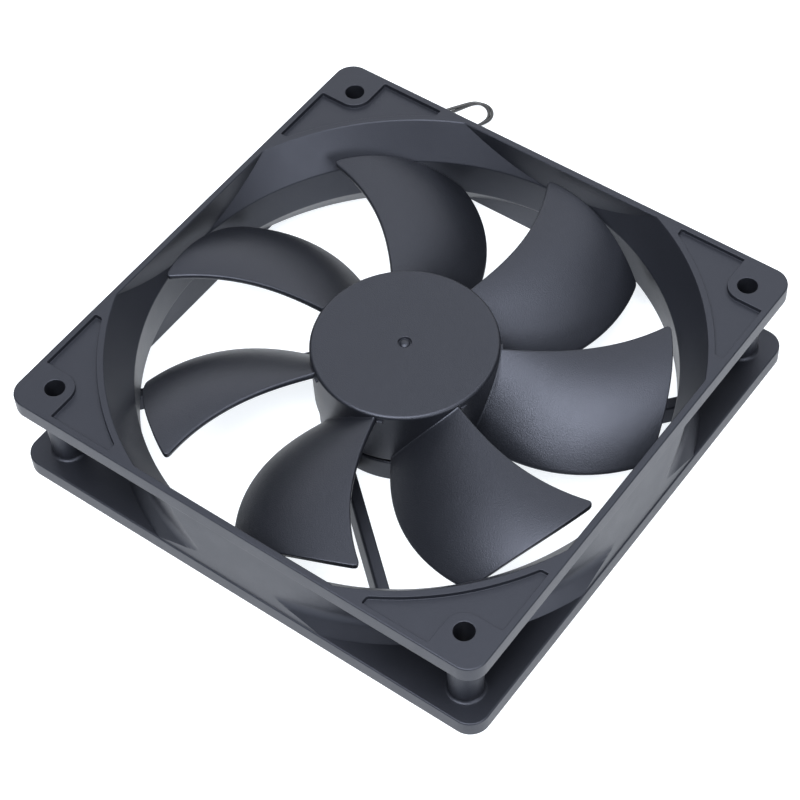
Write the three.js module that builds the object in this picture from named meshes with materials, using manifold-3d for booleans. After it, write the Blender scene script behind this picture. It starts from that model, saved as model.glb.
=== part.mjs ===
// Axial case fan, 120 mm square and 25 mm deep, with a two-wire lead folded into a hank.
// Millimetres, +Z up. The origin is at the centre of the outlet face, which lies on the floor,
// so air comes in at the top (z = DEPTH) and leaves through the struts at the bottom (z = 0).

import * as THREE from "three";
import { mergeVertices } from "three/addons/utils/BufferGeometryUtils.js";
import Module from "manifold-3d";

const wasm = await Module();
wasm.setup();

// ---------------------------------------------------------------- driving dimensions

// housing
const HALF = 60;                  // half the side of the square flanges
const DEPTH = 25;                 // outlet face to intake face
const CORNER_R = 4.5;             // flange corner radius
const FLANGE = 4.2;               // thickness of each flange
const HOLE_PITCH = 105;           // screw holes, centre to centre
const HOLE_R = 2.15;              // screw hole radius
const POST_TOP_R = 4.1;           // tubular corner post under the intake flange
const POST_FOOT_R = 3.6;          // the same post on the outlet flange

// duct through the housing
const THROAT_R = 58.3;
const THROAT_LOW = 8;             // the throat is a plain cylinder between these two heights
const THROAT_HIGH = 17;
const MOUTH_R = 63.7;             // radius of the flares at both faces, before the flats cut them
const FLAT = 58.4;                // the four flat inner walls at the middle of each side
const WALL_FOOT_R = 63.4;         // outside of the duct wall, on the outlet flange
const WALL_WAIST_R = 60.3;        // at the narrowest
const WALL_TOP_R = 61.8;          // under the intake flange
const PANEL = 59.7;               // the duct wall is cut flat here, just inside the flange edge

// shallow pockets moulded into the corners of the intake face
const POCKET_DEPTH = 1;
const POCKET_EDGE = 58.5;         // outer walls, from the centre lines
const POCKET_ARC_R = 65.3;        // inner wall, concentric with the duct
const POCKET_END = 32.4;          // where each arm of the pocket stops
const BOSS_R = 4.3;               // land left around the screw hole

// motor base and struts
const BASE_R = 19.7;
const BASE_RIM_HIGH = 6.2;
const BASE_RIM_IN_R = 18.2;
const FLOOR_LOW = 0.35;           // the floor is set back from z = 0 by the label's recess
const FLOOR_HIGH = 1.6;
const LABEL_RECESS_R = 17.6;
const SOCKET_R = 4.7;             // socket for the bearing tube
const SOCKET_OUT_R = 6;
const SOCKET_HIGH = 7;
const STRUT_ANGLE = -40;          // degrees, direction of the first strut
const STRUT_OFFSET = 17.4;        // struts leave the base tangentially, this far from the axis
const STRUT_HALF = 2;             // half its width at the foot
const STRUT_LEAN_IN = 0.3;        // how much each side leans in by the top
const STRUT_LEAN_OUT = 1;
const STRUT_START = 9;            // along the strut, from its nearest point to the axis
const STRUT_END = 62;
const WIRE_STRUT = 2;             // the strut that holds the lead
const WIRE_STRUT_EXTRA = 0.8;     // it is wider by this much on each side
const CHANNEL_WIDTH = 2.4;
const CHANNEL_DEPTH = 2.3;
const CHANNEL_START = -2;         // along the strut, under the edge of the circuit board
const CHANNEL_END = 82;           // past the edge of the housing
const BRIDGES = [24, 44, 64];     // along the strut, where a bridge keeps the lead in its channel
const BRIDGE_LENGTH = 2;
const BRIDGE_HIGH = 0.35;
const REST_R = 1.2;               // three small posts carry the circuit board
const REST_AT = 12.5;

// impeller
const BLADES = 7;
const HUB_R = 20.4;
const HUB_TOP = 23;
const HUB_LOW = 8.2;
const HUB_WALL = 1.2;
const HUB_ROOF = 21.6;            // underside of the hub's top
const HUB_EDGE = 0.6;             // chamfer around the hub's top
const BLADE_TIP_R = 56.7;
const BLADE_ROOT_R = 19.8;        // inside the hub wall, so that blade and hub join
const BLADE_THICKNESS = 1.4;
const BLADE_EDGE = 0.85;          // thickness at the leading and trailing edges
const CROWN_SHIFT = 0.127;        // how far a blade's crown sits towards its trailing edge

// motor, all coaxial
const SHAFT_R = 1.5;
const SHAFT_LOW = 2.9;
const SHAFT_HIGH = 21.2;
const GROOVE_LOW = 3.5;           // groove for the retaining clip
const GROOVE_HIGH = 4.3;
const GROOVE_R = 1.1;
const TUBE_IN_R = 3.6;
const TUBE_OUT_R = 4.4;
const TUBE_LOW = 1.9;
const TUBE_HIGH = 17;
const BEARING_BORE_R = 1.57;
const BEARING_R = 3.3;
const BEARING_LOW = 5;
const BEARING_HIGH = 14;
const INSERT_LOW = 17.9;          // metal insert that holds the shaft in the hub
const INSERT_HIGH = 21.3;
const INSERT_R = 3.6;
const YOKE_R = 18.9;
const YOKE_WALL = 0.8;
const YOKE_LOW = 8.8;
const YOKE_HIGH = 21.2;
const MAGNET_OUT_R = 17.8;
const MAGNET_IN_R = 16;
const MAGNET_LOW = 9.2;
const MAGNET_HIGH = 19.6;
const POLES = 4;
const CORE_LOW = 10;
const CORE_HIGH = 14.5;
const CORE_R = 15.2;
const SHOE_IN_R = 13;
const RING_R = 7.2;               // solid middle of the laminations
const BORE_R = 4.7;               // hole in the middle of the laminations
const NECK = 3.6;                 // width of the pole necks
const SHOE_ARC = 70;              // degrees covered by each pole shoe
const INSULATOR = 0.8;
const GAP = 0.3;                  // left between pieces that rest on each other

// circuit board under the stator
const BOARD_LOW = 3.2;
const BOARD_HIGH = 4.2;
const BOARD_IN_R = 6.5;
const BOARD_OUT_R = 17.6;
const PIN_CIRCLE_R = 8.8;
const PIN_R = 0.35;

// lead
const LEAD_R = 0.8;               // the pair of wires together
const EXIT = new THREE.Vector3(-44.4, 60, 1.35);
const LIE = 0.85;                 // height of the lead's centre line on the floor
const TURN_CENTRE = { x: -39.2, y: 81.6 };   // the half turn that the lead makes beyond the flange
const TURN_R = 3.6;
const RETURN_X = -31.9;           // where the lead, coming back, has turned along the hank
const RETURN_R = 5;
const HANK_RUN = 30;              // straight part of each turn
const HANK_BEND_R = 4.8;          // centre-line radius at the folds
const HANK_X = -1;                // middle of the hank
const HANK_Y = 66.7;
const HANK_LIE = 1.15;            // first layer, lying on the tie
const HANK_LAYERS = 3;
const HANK_TOP = HANK_LIE + 2 * (HANK_LAYERS - 1) * LEAD_R;   // centre of the top layer
const CONNECTOR = { length: 11.5, width: 5.1, height: 4.6, x: 33, y: 69.5, low: 0.1 };
const WIRE_PITCH = 2.54;

// ---------------------------------------------------------------- facets around each round

const DUCT_SEGMENTS = 60;
const HUB_SEGMENTS = 48;
const MOTOR_SEGMENTS = 32;
const SMALL_SEGMENTS = 16;
const BLADE_ROWS = 7;             // points from hub to tip
const BLADE_COLUMNS = 7;          // points from leading to trailing edge

// ---------------------------------------------------------------- materials

function finish(color, roughness, metalness) {
  return new THREE.MeshStandardMaterial({ color, roughness, metalness });
}


const black = finish(0x24272d, 0.5, 0);
const blackRotor = finish(0x22252b, 0.45, 0);
const steel = finish(0x8d9095, 0.35, 1);
const laminations = finish(0x6f7378, 0.45, 1);
const brass = finish(0xb8944a, 0.35, 1);
const bronze = finish(0x8d6a3c, 0.6, 1);
const ferrite = finish(0x2b2b2d, 0.8, 0);
const copper = finish(0xb5653a, 0.4, 1);
const nylon = finish(0xe6e2d6, 0.6, 0);
const blackNylon = finish(0x161618, 0.55, 0);
const board = finish(0x1d5b36, 0.5, 0);
const epoxy = finish(0x161618, 0.55, 0);
const tinned = finish(0xc2c4c6, 0.35, 1);
const paper = finish(0xd9dadb, 0.6, 0);
const insulation = finish(0x17181a, 0.5, 0);

// ---------------------------------------------------------------- solid helpers

const radians = (degrees) => THREE.MathUtils.degToRad(degrees);

function solidOf(geometry) {
  const bare = geometry.clone();
  bare.deleteAttribute("normal");
  bare.deleteAttribute("uv");
  const merged = mergeVertices(bare);
  const index = merged.index.array;
  const triangles = [];
  for (let i = 0; i < index.length; i += 3) {
    const [a, b, c] = [index[i], index[i + 1], index[i + 2]];
    if (a !== b && b !== c && c !== a) {
      triangles.push(a, b, c);
    }
  }
  return new wasm.Manifold(new wasm.Mesh({
    numProp: 3,
    vertProperties: merged.attributes.position.array,
    triVerts: Uint32Array.from(triangles),
  }));
}

function geometryOf(solid) {
  const mesh = solid.getMesh();
  const geometry = new THREE.BufferGeometry();
  geometry.setAttribute("position", new THREE.BufferAttribute(mesh.vertProperties, 3));
  geometry.setIndex(new THREE.BufferAttribute(mesh.triVerts, 1));
  geometry.computeVertexNormals();
  return geometry;
}

function join(geometries) {
  return geometries.map(solidOf).reduce((whole, piece) => whole.add(piece));
}

function cutFrom(solid, geometries) {
  return geometries.map(solidOf).reduce((whole, piece) => whole.subtract(piece), solid);
}

// A profile of [radius, height] pairs turned about Z, counter-clockwise when seen with Z up.
function turned(profile, segments) {
  const points = profile.map(([r, z]) => new THREE.Vector2(r, z));
  return new THREE.LatheGeometry(points, segments).rotateX(Math.PI / 2);
}

function ring(inner, outer, low, high, segments) {
  return turned([[inner, low], [outer, low], [outer, high], [inner, high], [inner, low]], segments);
}

function disc(radius, low, high, segments) {
  return turned([[0, low], [radius, low], [radius, high], [0, high]], segments);
}

function boxBetween(x0, x1, y0, y1, z0, z1) {
  const box = new THREE.BoxGeometry(x1 - x0, y1 - y0, z1 - z0);
  return box.translate((x0 + x1) / 2, (y0 + y1) / 2, (z0 + z1) / 2);
}

function extruded(shape, low, high, curveSegments = 12) {
  const options = { depth: high - low, bevelEnabled: false, curveSegments };
  return new THREE.ExtrudeGeometry(shape, options).translate(0, 0, low);
}

function squareShape(half, radius) {
  const inner = half - radius;
  const shape = new THREE.Shape();
  for (let corner = 0; corner < 4; corner++) {
    const x = corner === 0 || corner === 3 ? inner : -inner;
    const y = corner < 2 ? inner : -inner;
    shape.absarc(x, y, radius, radians(90 * corner), radians(90 * corner + 90), false);
  }
  return shape;
}

function corners() {
  const at = HOLE_PITCH / 2;
  return [[at, at], [-at, at], [-at, -at], [at, -at]];
}

function aroundZ(count, make) {
  return Array.from({ length: count }, (_, k) => make(k).rotateZ(radians(k * 360 / count)));
}

const fan = new THREE.Group();
fan.name = "case_fan";

function place(name, geometry, material) {
  const mesh = new THREE.Mesh(geometry, material);
  mesh.name = name;
  fan.add(mesh);
  return mesh;
}

// ---------------------------------------------------------------- housing

function ductVoid() {
  const flare = (MOUTH_R - THROAT_R) / THROAT_LOW;
  const over = 1;
  const wide = MOUTH_R + flare * over;
  const bore = turned([
    [0, -over], [wide, -over], [THROAT_R, THROAT_LOW], [THROAT_R, THROAT_HIGH], [wide, DEPTH + over],
    [0, DEPTH + over],
  ], DUCT_SEGMENTS);
  const flats = boxBetween(-FLAT, FLAT, -FLAT, FLAT, -over, DEPTH + over);
  return solidOf(bore).intersect(solidOf(flats));
}

function ductWall() {
  const top = DEPTH - FLANGE;
  const wall = turned([
    [0, FLANGE], [WALL_FOOT_R, FLANGE], [WALL_WAIST_R, THROAT_LOW], [WALL_TOP_R, top], [0, top],
  ], DUCT_SEGMENTS);
  const sides = boxBetween(-PANEL, PANEL, -PANEL, PANEL, 0, DEPTH);
  return solidOf(wall).intersect(solidOf(sides));
}

function cornerPost([x, y]) {
  const post = turned([[0, 0], [POST_FOOT_R, 0], [POST_FOOT_R, FLANGE], [POST_TOP_R, DEPTH - FLANGE],
    [POST_TOP_R, DEPTH], [0, DEPTH]], SMALL_SEGMENTS);
  return post.translate(x, y, 0);
}

function pocket() {
  const along = Math.sqrt(POCKET_ARC_R ** 2 - POCKET_END ** 2);
  const hole = HOLE_PITCH / 2;
  const land = hole - BOSS_R;
  const shape = new THREE.Shape();
  shape.moveTo(POCKET_END, along);
  shape.lineTo(POCKET_END, POCKET_EDGE);
  shape.lineTo(land, POCKET_EDGE);
  shape.lineTo(land, hole);
  shape.absarc(hole, hole, BOSS_R, Math.PI, 1.5 * Math.PI, false);
  shape.lineTo(POCKET_EDGE, land);
  shape.lineTo(POCKET_EDGE, POCKET_END);
  shape.lineTo(along, POCKET_END);
  shape.absarc(0, 0, POCKET_ARC_R, Math.atan2(POCKET_END, along), Math.atan2(along, POCKET_END), false);
  return extruded(shape, DEPTH - POCKET_DEPTH, DEPTH + 1, 4);
}

// Places a bar whose section is drawn as [distance from the axis, height], and which runs along strut k.
function alongStrut(k, section, start, end) {
  const angle = radians(STRUT_ANGLE + 90 * k);
  const run = new THREE.Vector3(Math.cos(angle), Math.sin(angle), 0);
  const across = new THREE.Vector3(-Math.sin(angle), Math.cos(angle), 0);
  const up = new THREE.Vector3(0, 0, 1);
  const shape = new THREE.Shape(section.map(([offset, z]) => new THREE.Vector2(-offset, z)));
  const bar = new THREE.ExtrudeGeometry(shape, { depth: end - start, bevelEnabled: false });
  bar.translate(0, 0, start);
  return bar.applyMatrix4(new THREE.Matrix4().makeBasis(across, up, run));
}

function strut(k) {
  const half = STRUT_HALF + (k === WIRE_STRUT ? WIRE_STRUT_EXTRA : 0);
  const inner = STRUT_OFFSET - half;
  const outer = STRUT_OFFSET + half;
  const section = [[inner, 0], [outer, 0], [outer - STRUT_LEAN_OUT, FLANGE], [inner + STRUT_LEAN_IN, FLANGE]];
  return alongStrut(k, section, STRUT_START, STRUT_END);
}

function wireChannel() {
  const half = CHANNEL_WIDTH / 2;
  const [near, far] = [STRUT_OFFSET - half, STRUT_OFFSET + half];
  const section = [[near, -1], [far, -1], [far, CHANNEL_DEPTH], [near, CHANNEL_DEPTH]];
  return alongStrut(WIRE_STRUT, section, CHANNEL_START, CHANNEL_END);
}

// Small bridges under the channel that keep the lead in it.
function channelBridge(start) {
  const half = CHANNEL_WIDTH / 2 + 0.2;
  const [near, far] = [STRUT_OFFSET - half, STRUT_OFFSET + half];
  const section = [[near, 0], [far, 0], [far, BRIDGE_HIGH], [near, BRIDGE_HIGH]];
  return alongStrut(WIRE_STRUT, section, start, start + BRIDGE_LENGTH);
}

function motorBase() {
  return turned([
    [0, FLOOR_LOW], [LABEL_RECESS_R, FLOOR_LOW], [LABEL_RECESS_R, 0], [BASE_R, 0], [BASE_R, BASE_RIM_HIGH],
    [BASE_RIM_IN_R, BASE_RIM_HIGH], [BASE_RIM_IN_R, FLOOR_HIGH], [SOCKET_OUT_R, FLOOR_HIGH],
    [SOCKET_OUT_R, SOCKET_HIGH], [SOCKET_R, SOCKET_HIGH], [SOCKET_R, FLOOR_HIGH], [0, FLOOR_HIGH],
  ], MOTOR_SEGMENTS);
}

function boardRest(k) {
  const rest = disc(REST_R, FLOOR_HIGH - 0.5, BOARD_LOW - GAP, 8).translate(REST_AT, 0, 0);
  return rest.rotateZ(radians(k * 120 + 75));
}

function frameSolid() {
  const flange = squareShape(HALF, CORNER_R);
  const plates = [extruded(flange, 0, FLANGE, 4), extruded(flange, DEPTH - FLANGE, DEPTH, 4)];
  let solid = join([...plates, ...corners().map(cornerPost)]).add(ductWall());
  solid = solid.subtract(ductVoid());
  const holes = corners().map(([x, y]) => disc(HOLE_R, -1, DEPTH + 1, SMALL_SEGMENTS).translate(x, y, 0));
  solid = cutFrom(solid, [...holes, ...aroundZ(4, pocket)]);
  const bars = [0, 1, 2, 3].map(strut);
  const rests = [0, 1, 2].map(boardRest);
  solid = solid.add(cutFrom(join(bars), [disc(BASE_RIM_IN_R + 0.5, -1, DEPTH, MOTOR_SEGMENTS)]));
  solid = solid.add(join([motorBase(), ...rests]));
  solid = cutFrom(solid, [wireChannel()]);
  return solid.add(join(BRIDGES.map(channelBridge)));
}

place("frame", geometryOf(frameSolid()), black);

// ---------------------------------------------------------------- impeller

// A blade's upper skin. t runs from the hub (0) to the tip (1), s from the leading edge (0) to the
// trailing edge (1). The angle is in degrees about Z and the height in millimetres.
function bladePoint(t, s) {
  const leadAngle = 31 - 3.5 * t + 15.7 * t ** 2 - 3 * t ** 3;
  const trailAngle = -12.8 + 9.4 * t + 12.2 * t ** 2 + 1.1 * t ** 3;
  const leadHeight = 22.3 - 0.3 * t ** 2;
  const trailHeight = 8.5 + 2.3 * t + 0.3 * t ** 2;
  const camber = 2.4 + 2.75 * t - 1.35 * t ** 2;
  const crown = camber * 4 * s * (1 - s) * (1 - CROWN_SHIFT * (1 - 2 * s));
  const radius = THREE.MathUtils.lerp(HUB_R, BLADE_TIP_R, t);
  const angle = radians(THREE.MathUtils.lerp(leadAngle, trailAngle, s));
  const height = THREE.MathUtils.lerp(leadHeight, trailHeight, s) + crown;
  return new THREE.Vector3(radius * Math.cos(angle), radius * Math.sin(angle), height);
}

function bladeNormal(t, s) {
  const step = 0.01;
  const along = bladePoint(t + step, s).sub(bladePoint(t - step, s));
  const across = bladePoint(t, s + step).sub(bladePoint(t, s - step));
  return across.cross(along).normalize();
}

function blade() {
  const rows = BLADE_ROWS;
  const columns = BLADE_COLUMNS;
  const rootT = (BLADE_ROOT_R - HUB_R) / (BLADE_TIP_R - HUB_R);
  const upper = [];
  const lower = [];
  for (let i = 0; i < rows; i++) {
    for (let j = 0; j < columns; j++) {
      const t = THREE.MathUtils.lerp(rootT, 1, i / (rows - 1));
      const s = j / (columns - 1);
      const skin = bladePoint(t, s);
      const atEdge = j === 0 || j === columns - 1;
      const thickness = atEdge ? BLADE_EDGE : BLADE_THICKNESS;
      upper.push(skin);
      lower.push(skin.clone().addScaledVector(bladeNormal(t, s), -thickness));
    }
  }
  const points = [...upper, ...lower];
  const index = [];
  const under = upper.length;
  const at = (i, j) => i * columns + j;
  const quad = (a, b, c, d) => index.push(a, b, c, a, c, d);
  for (let i = 0; i + 1 < rows; i++) {
    for (let j = 0; j + 1 < columns; j++) {
      quad(at(i, j), at(i, j + 1), at(i + 1, j + 1), at(i + 1, j));
      quad(under + at(i, j), under + at(i + 1, j), under + at(i + 1, j + 1), under + at(i, j + 1));
    }
  }
  const rim = [];
  for (let j = 0; j < columns; j++) rim.push(at(0, j));
  for (let i = 1; i < rows; i++) rim.push(at(i, columns - 1));
  for (let j = columns - 2; j >= 0; j--) rim.push(at(rows - 1, j));
  for (let i = rows - 2; i > 0; i--) rim.push(at(i, 0));
  rim.forEach((a, k) => {
    const b = rim[(k + 1) % rim.length];
    quad(b, a, under + a, under + b);
  });
  const geometry = new THREE.BufferGeometry().setFromPoints(points);
  geometry.setIndex(index);
  return geometry;
}

function hub() {
  const inner = HUB_R - HUB_WALL;
  const bossIn = INSERT_R + GAP;
  const bossOut = bossIn + 1.3;
  const bossLow = 18.5;
  return turned([
    [0, HUB_ROOF], [bossIn, HUB_ROOF], [bossIn, bossLow], [bossOut, bossLow], [bossOut, HUB_ROOF],
    [inner, HUB_ROOF], [inner, HUB_LOW], [HUB_R, HUB_LOW], [HUB_R, HUB_TOP - HUB_EDGE],
    [HUB_R - HUB_EDGE, HUB_TOP], [0, HUB_TOP],
  ], HUB_SEGMENTS);
}

function impellerSolid() {
  const inside = disc(HUB_R - HUB_WALL, 0, HUB_ROOF, HUB_SEGMENTS);
  const blades = aroundZ(BLADES, blade).map((geometry) => cutFrom(solidOf(geometry), [inside]));
  return blades.reduce((whole, piece) => whole.add(piece), solidOf(hub()));
}

place("impeller", geometryOf(impellerSolid()), blackRotor);

// ---------------------------------------------------------------- rotor inside the hub

function yoke() {
  const inner = YOKE_R - YOKE_WALL;
  const roof = YOKE_HIGH - YOKE_WALL;
  const hole = 5.6;
  return turned([
    [hole, roof], [inner, roof], [inner, YOKE_LOW], [YOKE_R, YOKE_LOW], [YOKE_R, YOKE_HIGH],
    [hole, YOKE_HIGH], [hole, roof],
  ], MOTOR_SEGMENTS);
}

function shaft() {
  const tip = 0.4;
  return turned([
    [0, SHAFT_LOW], [SHAFT_R - tip, SHAFT_LOW], [SHAFT_R, SHAFT_LOW + tip], [SHAFT_R, GROOVE_LOW],
    [GROOVE_R, GROOVE_LOW], [GROOVE_R, GROOVE_HIGH], [SHAFT_R, GROOVE_HIGH], [SHAFT_R, SHAFT_HIGH],
    [0, SHAFT_HIGH],
  ], SMALL_SEGMENTS);
}

function clip() {
  const middle = (GROOVE_LOW + GROOVE_HIGH) / 2;
  return ring(GROOVE_R + 0.15, 2.6, middle - 0.2, middle + 0.2, SMALL_SEGMENTS);
}

place("rotor_yoke", yoke(), steel);
place("magnet_ring", ring(MAGNET_IN_R, MAGNET_OUT_R, MAGNET_LOW, MAGNET_HIGH, MOTOR_SEGMENTS), ferrite);
place("shaft", shaft(), steel);
place("shaft_insert", ring(SHAFT_R + 0.15, INSERT_R, INSERT_LOW, INSERT_HIGH, SMALL_SEGMENTS), brass);
place("retaining_clip", clip(), nylon);
place("oil_ring", ring(SHAFT_R + 0.15, 2.9, BEARING_HIGH + 0.6, BEARING_HIGH + 1.4, SMALL_SEGMENTS), epoxy);

// ---------------------------------------------------------------- bearing and stator

function sector(inner, outer, degrees) {
  const half = radians(degrees / 2);
  const shape = new THREE.Shape();
  shape.absarc(0, 0, outer, -half, half, false);
  shape.absarc(0, 0, inner, half, -half, true);
  return shape;
}

// The plan of the stator: a ring, four necks and four shoes.
function statorPlan(low, high, neck, shoeIn, shoeOut, arc) {
  const pieces = [disc(RING_R, low, high, SMALL_SEGMENTS)];
  const neckBar = () => boxBetween(RING_R - 1, shoeIn + 0.5, -neck / 2, neck / 2, low, high);
  const shoe = () => extruded(sector(shoeIn, shoeOut, arc), low, high, 4);
  pieces.push(...aroundZ(POLES, neckBar), ...aroundZ(POLES, shoe));
  return cutFrom(join(pieces), [disc(BORE_R, low - 1, high + 1, SMALL_SEGMENTS)]);
}

function winding(k) {
  const low = CORE_LOW - GAP - INSULATOR - GAP;
  const high = CORE_HIGH + GAP + INSULATOR + GAP;
  const build = 1.6;
  const halfNeck = NECK / 2 + GAP;
  const outline = (grow) => {
    const shape = squareShape(1, 0.4);
    return shape.getPoints(2).map((p) => new THREE.Vector2(
      p.x * (halfNeck + grow),
      THREE.MathUtils.lerp(low - grow, high + grow, (p.y + 1) / 2),
    ));
  };
  const shape = new THREE.Shape(outline(build));
  const hole = new THREE.Path([[-halfNeck, low], [halfNeck, low], [halfNeck, high], [-halfNeck, high]]
    .map(([x, z]) => new THREE.Vector2(x, z)));
  shape.holes.push(hole);
  const start = RING_R + 0.5;
  const length = SHOE_IN_R - 1 - start;
  const coil = new THREE.ExtrudeGeometry(shape, { depth: length, bevelEnabled: false });
  coil.translate(0, 0, start);
  const across = new THREE.Vector3(0, 1, 0);
  const up = new THREE.Vector3(0, 0, 1);
  const out = new THREE.Vector3(1, 0, 0);
  coil.applyMatrix4(new THREE.Matrix4().makeBasis(across, up, out));
  return coil.rotateZ(radians(k * 360 / POLES));
}

function core() {
  return geometryOf(statorPlan(CORE_LOW, CORE_HIGH, NECK, SHOE_IN_R, CORE_R, SHOE_ARC));
}

function insulator(low) {
  return geometryOf(statorPlan(low, low + INSULATOR, NECK, SHOE_IN_R, CORE_R - 0.6, SHOE_ARC - 8));
}

place("bearing_tube", ring(TUBE_IN_R, TUBE_OUT_R, TUBE_LOW, TUBE_HIGH, SMALL_SEGMENTS), brass);
place("sleeve_bearing", ring(BEARING_BORE_R, BEARING_R, BEARING_LOW, BEARING_HIGH, SMALL_SEGMENTS), bronze);
place("thrust_plate", disc(BEARING_R - 0.1, TUBE_LOW, TUBE_LOW + 0.7, SMALL_SEGMENTS), nylon);
place("stator_core", core(), laminations);
place("upper_insulator", insulator(CORE_HIGH + GAP), nylon);
place("lower_insulator", insulator(CORE_LOW - GAP - INSULATOR), nylon);
for (let k = 0; k < POLES; k++) {
  place(`winding_${k + 1}`, winding(k), copper);
}

// ---------------------------------------------------------------- circuit board

const pinAngles = [45, 135, 225, 315];

function polar(radius, degrees) {
  return [radius * Math.cos(radians(degrees)), radius * Math.sin(radians(degrees))];
}

function circuitBoard() {
  const plate = solidOf(ring(BOARD_IN_R, BOARD_OUT_R, BOARD_LOW, BOARD_HIGH, MOTOR_SEGMENTS));
  const holes = pinAngles.map((angle) => {
    const [x, y] = polar(PIN_CIRCLE_R, angle);
    return disc(PIN_R + 0.2, BOARD_LOW - 1, BOARD_HIGH + 1, 8).translate(x, y, 0);
  });
  return geometryOf(cutFrom(plate, holes));
}

function chip(length, width, height, radius, angle) {
  const low = BOARD_HIGH + 0.05;
  const body = boxBetween(-width / 2, width / 2, -length / 2, length / 2, low, low + height);
  return body.translate(radius, 0, 0).rotateZ(radians(angle));
}

place("circuit_board", circuitBoard(), board);
place("driver_chip", chip(5, 4, 1.5, 13, 22), epoxy);
place("hall_sensor", chip(3, 1.5, 3, 16, 90), epoxy);
place("filter_capacitor", chip(3.2, 2.5, 1.8, 12.5, 180), bronze);
place("sense_resistor", chip(2, 1.2, 0.5, 12.5, 250), epoxy);
pinAngles.forEach((angle, k) => {
  const [x, y] = polar(PIN_CIRCLE_R, angle);
  const pin = disc(PIN_R, BOARD_LOW - 0.7, CORE_LOW - GAP - INSULATOR - GAP, 8).translate(x, y, 0);
  place(`terminal_pin_${k + 1}`, pin, tinned);
});
place("rear_label", disc(LABEL_RECESS_R - 0.2, 0.05, 0.25, MOTOR_SEGMENTS), paper);

// ---------------------------------------------------------------- lead

const v = (x, y, z) => new THREE.Vector3(x, y, z);

function tube(points, steps) {
  const path = new THREE.CatmullRomCurve3(points, false, "centripetal");
  const section = new THREE.Shape();
  section.absarc(0, 0, LEAD_R, 0, 2 * Math.PI, false);
  const options = { steps, extrudePath: path, bevelEnabled: false, curveSegments: 4 };
  return new THREE.ExtrudeGeometry(section, options);
}

function strutPoint(along, height) {
  const angle = radians(STRUT_ANGLE + 90 * WIRE_STRUT);
  const x = STRUT_OFFSET * Math.sin(angle) + along * Math.cos(angle);
  const y = -STRUT_OFFSET * Math.cos(angle) + along * Math.sin(angle);
  return v(x, y, height);
}

// Held in the strut's channel, from under the circuit board to the edge of the outlet flange.
const heldRoute = [
  strutPoint(-1, 2.2), strutPoint(2, 1.7), strutPoint(4.5, 1.4), strutPoint(8, EXIT.z),
  strutPoint(20, EXIT.z), strutPoint(45, EXIT.z), strutPoint(71.5, EXIT.z),
];

// Points on a level bend about a centre, from one angle to another, in degrees.
function bend(centre, radius, from, to) {
  const steps = Math.ceil(Math.abs(to - from) / 22);
  return Array.from({ length: steps + 1 }, (_, k) => {
    const [x, y] = polar(radius, from + (to - from) * k / steps);
    return v(centre.x + x, centre.y + y, LIE);
  });
}

// Loose on the floor: out beyond the flange, round a half turn, and back to the first run of the hank.
const hankIn = HANK_X - HANK_RUN / 2;
const hankOut = HANK_X + HANK_RUN / 2;
const hankBack = HANK_Y + HANK_BEND_R;
const looseRoute = [
  v(EXIT.x - 0.25, EXIT.y + 0.2, EXIT.z), v(-46.6, 62.2, 1.1), v(-48.3, 64.8, LIE), v(-49.1, 68, LIE),
  v(-48.8, 71.5, LIE), v(-47.3, 75.2, LIE), v(-45.6, 78.1, LIE), v(-44.2, 80.3, LIE),
  ...bend(TURN_CENTRE, TURN_R, 148, -20),
  ...bend({ x: RETURN_X, y: hankBack + RETURN_R }, RETURN_R, 160, 270),
  v(-28.6, hankBack, LIE), v(-25, hankBack, LIE), v(-22, hankBack, 1),
];

// From the top run of the hank down to the connector.
const tailRoute = [
  v(hankOut + 6.2, hankBack, 4.2), v(hankOut + 8.5, hankBack - 0.1, 3.5),
  v(hankOut + 11.5, hankBack - 0.6, 2.9), v(hankOut + 14.5, hankBack - 1.6, 2.6),
  v(CONNECTOR.x - 0.3, CONNECTOR.y, 2.4),
];

function hankBlock() {
  const outer = HANK_BEND_R + LEAD_R;
  const shape = new THREE.Shape();
  shape.absarc(hankOut, HANK_Y, outer, -Math.PI / 2, Math.PI / 2, false);
  shape.absarc(hankIn, HANK_Y, outer, Math.PI / 2, 1.5 * Math.PI, false);
  return extruded(shape, HANK_LIE - LEAD_R + 0.25, HANK_TOP + LEAD_R, 8);
}

function hankTie() {
  const halfWidth = HANK_BEND_R + LEAD_R + 0.7;
  const top = HANK_TOP + LEAD_R + 0.7;
  const wall = 0.35;
  const band = boxBetween(-1.25, 1.25, -halfWidth, halfWidth, 0.02, top);
  const inside = boxBetween(-2, 2, -halfWidth + wall, halfWidth - wall, 0.02 + wall, top - wall);
  return cutFrom(solidOf(band), [inside]).translate([HANK_X, HANK_Y, 0]);
}

function connectorHousing() {
  const { length, width, height, x, y, low } = CONNECTOR;
  const body = boxBetween(x, x + length, y - width / 2, y + width / 2, low, low + height);
  const middle = low + height / 2;
  const cavity = (side) => {
    const at = y + side * WIRE_PITCH / 2;
    return boxBetween(x - 1, x + length + 1, at - 0.9, at + 0.9, middle - 0.9, middle + 0.9);
  };
  return geometryOf(cutFrom(solidOf(body), [cavity(-1), cavity(1)]));
}

function contact(side) {
  const { length, height, x, y, low } = CONNECTOR;
  const at = y + side * WIRE_PITCH / 2;
  const middle = low + height / 2;
  return boxBetween(x + 1.5, x + length - 1, at - 0.6, at + 0.6, middle - 0.6, middle + 0.6);
}

place("channel_lead", tube(heldRoute, 16), insulation);
place("lead", tube(looseRoute, 40), insulation);
place("lead_hank", hankBlock(), insulation);
place("hank_tie", geometryOf(hankTie()), blackNylon);
place("lead_tail", tube(tailRoute, 10), insulation);
place("connector_housing", connectorHousing(), blackNylon);
place("connector_contact_1", contact(-1), tinned);
place("connector_contact_2", contact(1), tinned);

export default fan;
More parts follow.
